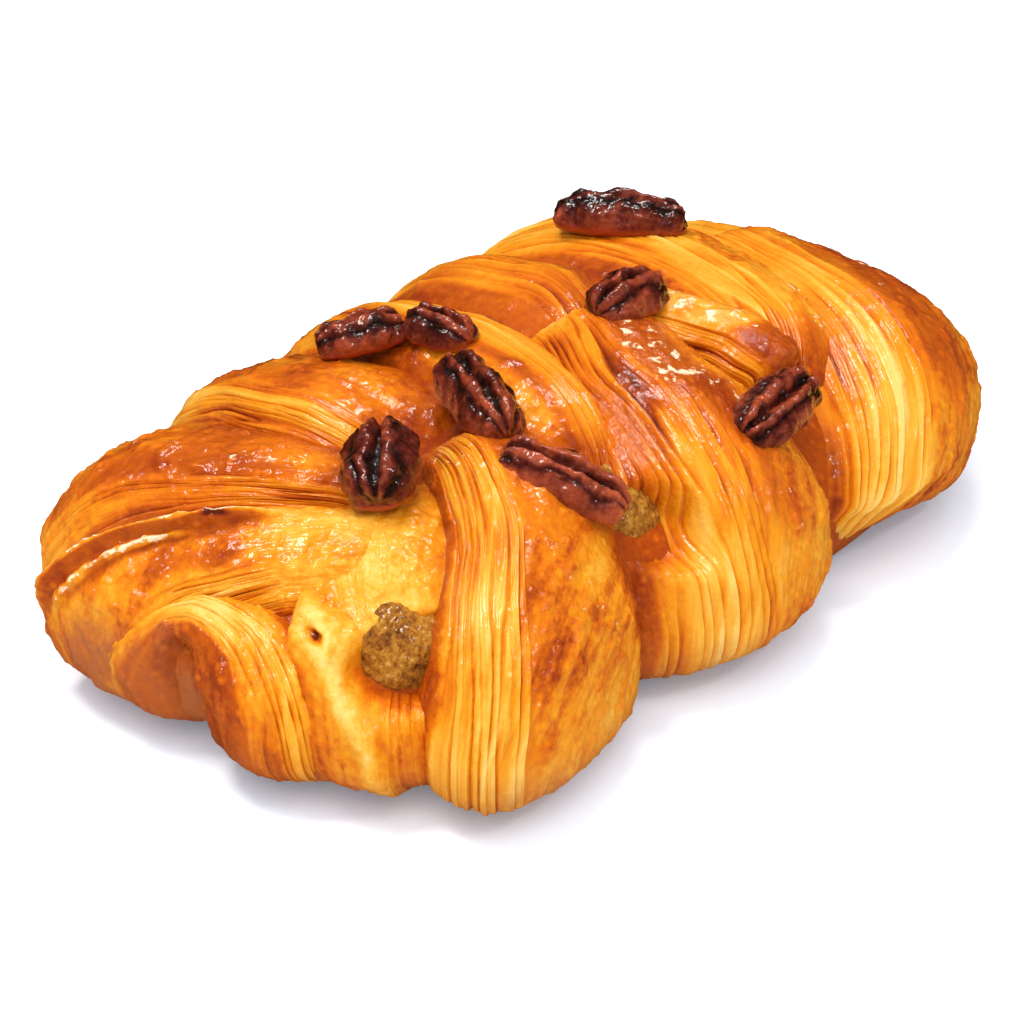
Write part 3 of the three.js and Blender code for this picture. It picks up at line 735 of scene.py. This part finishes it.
def makeBand(name, band, seed):
    shape, tone = bandShape, bandTone
    cutFrom, cutTo = band["cut"]
    detail = shape["coarse"] if band.get("coarse") else 1
    places = placesAcross(band, detail)
    columns = np.append(places, np.linspace(1, 0, shape["underColumns"]))
    along, across = np.meshgrid(np.linspace(0, 1, int(shape["rows"] * detail)), columns, indexing="ij")
    isTop = np.arange(len(columns)) < len(places)
    shares = [(spot, patchShare(along, across, spot)) for spot in band.get("tones", [])]
    lipRise, lipShade, gloss, sparkle = lipsOn(band, along, across)

    # points of the top, which rises to its crest, and of the plain underside
    near, far = bend(band["near"], along), bend(band["far"], along)
    lengthwise, crosswise = along * shape["noiseLength"], across * shape["noiseWidth"]
    waver = shape["waver"] * softNoise(lengthwise, crosswise, shape["waverSize"], seed)
    flat = mix(near, far, across[..., None]) + waver[..., None] * np.array(shape["waverWay"])
    flatX, flatY = flat[..., 0], flat[..., 1]
    rise = mix(*band["rise"], along) + shape["swell"] * softNoise(flatX, flatY, shape["swellSize"], seed + 1)
    towardsTip = smoothStep((along - shape["crestFrom"]) / shape["crestOver"])
    crest = mix(band["crest"], band.get("tipCrest", band["crest"]), towardsTip)
    section = sectionAt(across, crest, band.get("fullness", shape["cutFullness"]))
    ends = np.sqrt(smoothStep(along / band["root"]) * smoothStep((1 - along) / shape["tipLength"]))
    height = mix(-band.get("edgeDepth", shape["edgeDepth"]), rise + lipRise, section * ends)
    for spot, share in shares:
        height = height + spot["lift"] * share
    depth, opened = (part * band.get("hollowed", False) for part in openingsAt(flatX, flatY))
    height = height - depth
    top = onForm(flatX, flatY, -height, shape["floor"])
    under = onForm(flatX, flatY, shape["underDepth"], shape["underFloor"])
    points = np.where(isTop[:, None], top, under)
    length = np.linalg.norm(np.diff(points, axis=0), axis=2).sum(0).mean()
    width = np.linalg.norm(far - near, axis=2)

    # where the cut layers show, and how brown each place is
    ragged = shape["ragged"] * softNoise(lengthwise, 0 * across, shape["raggedSize"], seed + 3)
    cutShare = np.clip((across - cutFrom) / (cutTo - cutFrom), 0, 1)
    cutMask = between(across, cutFrom - ragged, cutTo + ragged, shape["cutSoft"])
    cutMask = cutMask * smoothStep(along / shape["cutStart"]) * isTop
    z = points[..., 2]
    highUp = smoothStep((z - tone["highFrom"]) / tone["highOver"])
    glow = tone["crestGlow"] * bell(across, cutTo + tone["crestAt"], tone["crestWidth"])
    glow = glow + tone["edgeGlow"] * bell(across, cutFrom - tone["edgeAt"], tone["edgeWidth"])
    glow = (glow + tone["highGlow"] * (highUp - 0.5)) * band.get("glow", 1)
    blotch = tone["blotch"] * softNoise(flatX, flatY, tone["blotchSize"], seed + 2)
    browning = band["brown"] + glow + blotch + lipShade
    # sugar flecks along the crest high up, pale cream that also stands in for painted glints
    onCrest = bell(across, cutTo + tone["sparkleAt"], tone["sparkleWidth"])
    sparkle = np.maximum(sparkle, tone["sparkle"] * onCrest * highUp * band.get("glow", 1))
    tan = np.zeros(along.shape)
    for spot, share in shares:
        browning = browning + spot["by"] * share
        tan = np.maximum(tan, spot["tan"] * share)
        gloss = np.maximum(gloss, spot["gloss"] * share)
        sparkle = np.maximum(sparkle, spot["sparkle"] * share)
        cutMask = cutMask * (1 - spot["smooth"] * share)
    # painted shade: browner where the band dips below the form into the creases between bands, fading out low
    # down
    creaseShade = smoothStep((-height - tone["creaseFrom"]) / tone["creaseOver"])
    creaseShade = creaseShade * smoothStep((z - tone["creaseLowest"]) / tone["creaseFade"])
    base = smoothStep((tone["baseTop"] - z) / tone["baseFade"])
    browning = np.clip(browning + tone["creaseShade"] * creaseShade + tone["base"] * base, 0, tone["brownest"])
    # painted shade: places in a slit turn dark brown, as if in shadow
    browning = mix(browning, tone["slitShade"], smoothStep(opened * tone["slitShadeSpread"]))
    piece = ringMesh(name, points * mm, {
        "alongMm": along * length, "acrossMm": across * width, "cutShare": cutShare,
        "cutMask": cutMask * (1 - opened), "topMask": isTop * smoothStep(along / shape["topStart"]),
        "browning": browning, "tan": tan, "gloss": gloss * (1 - opened), "sparkle": sparkle,
    })
    return applyTree(piece, flakyRelief, {"Layers": float(band["layers"]), "Seed": float(seed)})


for number, (name, band) in enumerate(bands.items()):
    piece = makeBand(name, band, 100 + 10 * number)
    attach(piece, "root")
    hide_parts("dough")
print("bands of dough made:", len(bands))

# The plain body of dough under the bands, browned dark: partly crust colour, partly painted shade for the gaps
# between bands where it shows
core = {"depth": 4.6, "rings": 60, "sides": 120, "nearestRing": 0.01, "browning": 0.85, "sheet": 0.5}


def makeCore():
    turn = np.linspace(0, 2 * math.pi, core["sides"], endpoint=False)
    out, turn = np.meshgrid(np.linspace(core["nearestRing"], 1, core["rings"]), turn, indexing="ij")
    x, y = np.cos(turn), np.sin(turn)
    power = form["planPower"]
    edge = (np.abs(x) ** power + np.abs(y) ** power) ** (-1 / power)
    flatX, flatY = x * edge * form["flatHalfLength"] * out, y * edge * form["flatHalfWidth"] * out
    points = onForm(flatX, flatY, core["depth"])
    zero = np.zeros(out.shape)
    plain = {name: zero for name in ("cutMask", "layer", "tan", "gloss", "sparkle", "alongMm", "acrossMm")}
    tones = {"browning": zero + core["browning"], "sheet": zero + core["sheet"]}
    piece = ringMesh("doughCore", points * mm, {**plain, **tones})
    piece.data.materials.append(dough)
    return piece


body = makeCore()
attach(body, "root")
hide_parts("dough")
print("core of dough made")

# Pecan pieces: place on the flat layout, heading in degrees, length, width and height, lift of the widest
# part above the form, and a shade that makes the skin redder or darker
pecans = {
    "pecanOne": {
        "node": "pecan_1", "at": (24.5, 12), "turn": -61, "size": (19, 8.4, 5.4), "lift": 0.8, "shade": -0.1,
    },
    "pecanTwo": {"node": "pecan_2", "at": (7.3, -4.6), "turn": 0, "size": (13, 8.8, 5), "lift": 0.7},
    "pecanThree": {"node": "pecan_3", "at": (7.8, -27.4), "turn": 8, "size": (16.5, 8.8, 5), "lift": 0.9},
    "pecanFour": {"node": "pecan_4", "at": (-11.7, 12.4), "turn": -38, "size": (12.5, 7.8, 4.6), "lift": 0.4},
    "pecanFive": {"node": "pecan_5", "at": (-7.6, 5.2), "turn": -88, "size": (10.5, 7.4, 4.4), "lift": 0.7},
    "pecanSix": {"node": "pecan_6", "at": (-14.3, -6.9), "turn": -115, "size": (18, 8.8, 5.3), "lift": 0.7},
    "pecanSeven": {
        "node": "pecan_7", "at": (-17.9, -21.6), "turn": -70, "size": (17.4, 8.2, 5), "lift": 0.7,
        "shade": 0.26,
    },
    "pecanEight": {
        "node": "pecan_8", "at": (-27, -6.2), "turn": -142, "size": (14.5, 10.2, 5.6), "lift": 0.4,
        "shade": -0.06,
    },
}
pecanShape = {
    "rings": 56, "sides": 72, "underShare": 0.4, "fullness": 0.5, "grooveDepth": 0.42, "grooveWidth": 0.15,
    "grooveFullness": 0.5, "wrinkle": 0.05, "wrinkleTurns": 4, "wrinkleShift": 1.2, "reliefShare": 0.7,
    "topSharpness": 2, "lowFrom": 0.35, "lowSharpness": 1.6, "middleSharpness": 1.8,
}
pecanRelief = {"FurrowDepth": 0.32, "FurrowCount": 1.5, "LumpHeight": 0.85, "PitHeight": 0.4}
pecanLook = {
    # the nut's own dark furrows and paler ridges, deepened by painted shade in the furrows and a painted
    # highlight on the ridges
    "tones": {
        "furrow": (0.12, (0.012, 0.003, 0.0015, 1)), "skin": (0.5, (0.09, 0.008, 0.003, 1)),
        "ridge": (0.95, (0.38, 0.06, 0.018, 1)),
    },
    # edge: red painted on the low edge of each nut, a painted glow of light shining through it
    "edge": (0.34, 0.03, 0.006, 1), "grain": (900, 4, 0.65), "blotch": (230, 3, 0.6), "crisp": (1300, 2, 0.5),
    "ridgeToneAndPaintedLight": 0.7, "grainTone": 0.7, "blotchTone": 1.4, "blotchBump": 1.5, "skinBump": (0.6, 0.0006),
    "glazeRange": (0.3, 0.5, 0.5, 1.0), "glazeRoughness": (0.35, 0.65, 0.04, 0.12),
    "glazeBump": (1.0, 0.0001),
    "drift": 1.6, "driftAlong": 0.14, "ridgePower": 0.7, "ridgeMiddle": 0.7, "lumpSize": 260, "pitSize": 800,
    "shader": {
        "Roughness": 0.42, "Specular IOR Level": 0.2, "Subsurface Weight": 0.05,
        "Subsurface Radius": (1.0, 0.3, 0.1), "Subsurface Scale": 0.001,
    },
}


def pecanMaterial():
    look = pecanLook
    material, tree, shader, where = newMaterial("glazedPecan")
    grain, blotch = noise(where, *look["grain"]), noise(where, *look["blotch"])
    # ridges paler and furrows darker: own colour plus painted highlight and shade
    ridge = times(attribute(tree, "ridge"), look["ridgeToneAndPaintedLight"])
    tone = plus(ridge, centred(grain, look["grainTone"]))
    tone = plus(tone, centred(blotch, look["blotchTone"]), attribute(tree, "shade"))
    height = plus(grain, times(blotch, look["blotchBump"]))
    setInputs(tree, shader, {
        "Base Color": blend(attribute(tree, "lowEdgeGlow"), rampOf(tone, look["tones"]), look["edge"]),
        "Normal": bumpOf(height, *look["skinBump"]),
        "Coat Weight": remap(blotch, *look["glazeRange"]),
        "Coat Roughness": remap(grain, *look["glazeRoughness"]),
        "Coat Normal": bumpOf(noise(where, *look["crisp"]), *look["glazeBump"]), **look["shader"],
    })
    return material


pecanSkin = pecanMaterial()


def pecanTree():
    look = pecanLook
    tree, given = newTree("nutRelief", {**pecanRelief, "Seed": 0.0, "Detail": 1, "Material": pecanSkin})
    along, beside, top = named(tree, "alongMm"), named(tree, "beside"), named(tree, "topMask")
    where = place(tree)
    drift = noise(vector(times(along, look["driftAlong"]), beside, given["Seed"]), 1.0)
    phase = times(calc("ABSOLUTE", beside), given["FurrowCount"])
    phase = plus(phase, centred(drift, look["drift"]))
    wave = calc("ABSOLUTE", calc("SINE", times(phase, math.pi)))
    ridge = calc("POWER", wave, look["ridgePower"])
    furrow = times(minus(ridge, look["ridgeMiddle"]), given["FurrowDepth"], named(tree, "middle"))
    lumps = centred(noise(where, look["lumpSize"]), times(given["LumpHeight"], 2.0))
    pits = centred(noise(where, look["pitSize"]), times(given["PitHeight"], 2.0))
    moved = pushOut(tree, refine(tree, given), times(plus(furrow, lumps, pits), top))
    finishTree(tree, store(tree, moved, "ridge", ridge), given["Material"])
    return tree


nutRelief = pecanTree()


def makePecan(name, pecan, seed):
    shape = pecanShape
    length, width, height = np.array(pecan["size"]) - shape["reliefShare"]
    turn = math.radians(pecan["turn"])
    up = outward(*pecan["at"])
    side = np.cross(up, [math.cos(turn), math.sin(turn), 0])
    side = side / np.linalg.norm(side)
    heading = np.cross(side, up)
    middle = onForm(*pecan["at"], -pecan["lift"])
    share = np.linspace(0, 1, shape["rings"] + 1)[1:-1]
    angle = np.linspace(0, 2 * math.pi, shape["sides"], endpoint=False)
    share, angle = np.meshgrid(share, angle, indexing="ij")
    across, rise, plump = np.cos(angle), np.sin(angle), np.sin(math.pi * share)
    swell = plump ** shape["fullness"]
    groove = shape["grooveDepth"] * bell(across, 0, shape["grooveWidth"]) * plump ** shape["grooveFullness"]
    phase = 2 * math.pi * shape["wrinkleTurns"] * share + np.sign(across) * shape["wrinkleShift"]
    wrinkle = 1 + shape["wrinkle"] * np.sin(phase)
    thick = np.where(rise > 0, height * (1 - groove) * wrinkle, height * shape["underShare"])
    u = -np.cos(math.pi * share) * length / 2
    v = across * width / 2 * swell * wrinkle
    w = rise * thick * swell
    points = middle + u[..., None] * heading + v[..., None] * side + w[..., None] * up
    piece = ringMesh(name, points * mm, {
        "alongMm": u + length / 2, "beside": across,
        "topMask": smoothStep(rise * shape["topSharpness"] + 0.5),
        # painted glow: how near the low edge each place is
        "lowEdgeGlow": smoothStep(shape["lowFrom"] - rise * shape["lowSharpness"]),
        "middle": smoothStep(plump * shape["middleSharpness"]),
        "shade": np.full(share.shape, pecan.get("shade", 0.0)),
    })
    return applyTree(piece, nutRelief, {"Seed": float(seed)})


for number, (name, pecan) in enumerate(pecans.items()):
    piece = makePecan(name, pecan, 3 * number)
    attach(piece, "root")
    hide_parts(pecan["node"])
print("pecans made:", len(pecans))

# Nut filling: a lumpy roll under the bands, with a lobe wherever it shows between them, in mm
filling = {
    "start": -54, "end": 52, "middleY": -2, "middleZ": 15, "width": 24, "height": 13, "fullness": 0.5,
    "rings": 60, "sides": 64, "lumps": 0.08, "lumpTurns": 3,
}
fillingRelief = {"LumpSize": 300.0, "LumpHeight": 1.3, "GrainSize": 1100.0, "GrainHeight": 0.8}
fillingLobes = {
    "fillingBesideFlap": {"at": (-49.5, -31), "from": (-42, -6, 13), "width": 16, "depth": 3.0},
    "fillingUnderMiddle": {"at": (-12.6, -34), "from": (-14, -6, 14), "width": 19, "depth": 4.6},
}
lobeShape = {"rings": 110, "sides": 150, "fullness": 0.4}
fillingLook = {
    "tones": {
        "dark": (0.2, (0.06, 0.015, 0.003, 1)), "brown": (0.4, (0.28, 0.09, 0.010, 1)),
        "tan": (0.56, (0.46, 0.19, 0.018, 1)), "pale": (0.8, (0.75, 0.45, 0.12, 1)),
    },
    "grain": (1300, 4, 0.7), "blotch": (260, 3, 0.6), "grainTone": 0.9, "blotchTone": 0.8,
    "bump": (0.7, 0.0006),
    "shader": {"Roughness": 0.5, "Coat Weight": 0.6, "Coat Roughness": 0.05, "Specular IOR Level": 0.1},
}


def fillingMaterial():
    look = fillingLook
    material, tree, shader, where = newMaterial("nutFilling")
    grain, blotch = noise(where, *look["grain"]), noise(where, *look["blotch"])
    tone = plus(times(grain, look["grainTone"]), centred(blotch, look["blotchTone"]))
    setInputs(tree, shader, {
        "Base Color": rampOf(tone, look["tones"]), "Normal": bumpOf(grain, *look["bump"]),
        **look["shader"],
    })
    return material


nutFilling = fillingMaterial()


def fillingTree():
    tree, given = newTree("grainyRelief", {**fillingRelief, "Material": nutFilling})
    where = place(tree)
    lumps = centred(noise(where, given["LumpSize"]), given["LumpHeight"])
    grains = centred(noise(where, given["GrainSize"]), given["GrainHeight"])
    finishTree(tree, pushOut(tree, given["Geometry"], plus(lumps, grains)), given["Material"])
    return tree


grainyRelief = fillingTree()


def makeRoll(name, start, end, rings, sides, radiusAt):
    axis = (end - start) / np.linalg.norm(end - start)
    side = np.cross([0, 0, 1], axis)
    side = side / np.linalg.norm(side)
    up = np.cross(axis, side)
    share = (1 - np.cos(np.linspace(0, math.pi, rings + 1)[1:-1])) / 2
    turn = np.linspace(0, 2 * math.pi, sides, endpoint=False)
    share, turn = np.meshgrid(share, turn, indexing="ij")
    wide, high = radiusAt(share, turn)
    points = start + share[..., None] * (end - start)
    points = points + (np.cos(turn) * wide)[..., None] * side + (np.sin(turn) * high)[..., None] * up
    return applyTree(ringMesh(name, points * mm), grainyRelief, {})


def mainRollRadius(share, turn):
    swell = np.sin(math.pi * share) ** filling["fullness"]
    lumps = 1 + filling["lumps"] * np.sin(2 * math.pi * filling["lumpTurns"] * share + 2 * turn)
    return filling["width"] / 2 * swell * lumps, filling["height"] / 2 * swell * lumps


def makeFillingRoll():
    start, end = (np.array([filling[x], filling["middleY"], filling["middleZ"]]) for x in ("start", "end"))
    return makeRoll("fillingRoll", start, end, filling["rings"], filling["sides"], mainRollRadius)


def makeFillingLobe(name, lobe):
    start, end = np.array(lobe["from"], float), onForm(*lobe["at"], lobe["depth"])

    def radiusAt(share, turn):
        radius = lobe["width"] / 2 * np.sin(math.pi * share) ** lobeShape["fullness"]
        return radius, radius

    return makeRoll(name, start, end, lobeShape["rings"], lobeShape["sides"], radiusAt)


for piece in [makeFillingRoll()] + [makeFillingLobe(name, lobe) for name, lobe in fillingLobes.items()]:
    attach(piece, "root")
    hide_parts("filling")
print("filling made")

# Camera at the photo's angle, in degrees and mm
view = {
    "azimuth": -49, "elevation": 30, "distance": 450, "target": (-9.9, -4.3, 12.0), "lens": 122.3,
    "nearest": 0.01,
}


def makeCamera():
    turn, tilt = math.radians(view["azimuth"]), math.radians(view["elevation"])
    back = Vector((math.sin(turn) * math.cos(tilt), -math.cos(turn) * math.cos(tilt), math.sin(tilt)))
    camera = linked("camera", bpy.data.cameras.new("camera"))
    camera.location = (Vector(view["target"]) + back * view["distance"]) * mm
    camera.rotation_euler = back.to_track_quat("Z", "Y").to_euler()
    camera.data.lens = view["lens"]
    camera.data.clip_start = view["nearest"]
    bpy.context.scene.camera = camera


makeCamera()

# A pale floor that also glows faintly blue, painted light that lightens and blues the shadows on it, and soft
# studio light, in metres and watts
white = (1.0, 1.0, 1.0)
studio = {
    "floorSize": 3.0, "skyStrength": 0.75, "skyColour": (0.82, 0.91, 1.0, 1),
    "floor": {
        "Base Color": (0.88, 0.91, 0.96, 1), "Roughness": 0.9, "Specular IOR Level": 0.1,
        # a faint blue glow, painted light for lighter, bluer shadows on the floor
        "Emission Color": (0.09, 0.14, 0.17, 1), "Emission Strength": 1.0,
    },
}
lights = {
    "key": {"from": (-0.25, 0.3, 1.1), "size": 0.3, "power": 6.3, "colour": (1.0, 0.98, 0.94), "shines": True},
    "fill": {
        "from": (-0.5, -0.4, 1.0), "size": 1.0, "power": 7.2, "colour": (1.0, 0.99, 0.97), "shines": False,
    },
    "front": {"from": (0.1, -0.75, 0.9), "size": 0.12, "power": 1.4, "colour": white, "shines": True},
    "ridge": {"from": (0.28, 0.2, 1.0), "size": 0.2, "power": 2.2, "colour": white, "shines": True},
}


def makeLight(name, light):
    lamp = linked(name, bpy.data.lights.new(name, "AREA"))
    lamp.location = light["from"]
    lamp.rotation_euler = Vector(light["from"]).to_track_quat("Z", "Y").to_euler()
    lamp.data.size = light["size"]
    lamp.data.energy = light["power"]
    lamp.data.color = light["colour"]
    lamp.visible_glossy = light["shines"]


def makeStudio():
    size = studio["floorSize"] / 2
    mesh = bpy.data.meshes.new("floor")
    corners = [(-size, -size, 0), (size, -size, 0), (size, size, 0), (-size, size, 0)]
    mesh.from_pydata(corners, [], [(0, 1, 2, 3)])
    floor = linked("floor", mesh)
    material, tree, shader = newMaterial("paleFloor")[:3]
    setInputs(tree, shader, studio["floor"])
    mesh.materials.append(material)
    floor.visible_glossy = False
    for name, light in lights.items():
        makeLight(name + "Light", light)
    world = bpy.data.worlds.new("studio")
    bpy.context.scene.world = world
    world.use_nodes = True
    world.cycles_visibility.glossy = False
    sky = world.node_tree.nodes["Background"]
    setInputs(world.node_tree, sky, {"Color": studio["skyColour"], "Strength": studio["skyStrength"]})


makeStudio()
bpy.context.scene.view_settings.view_transform = "Standard"
print("camera and studio ready")
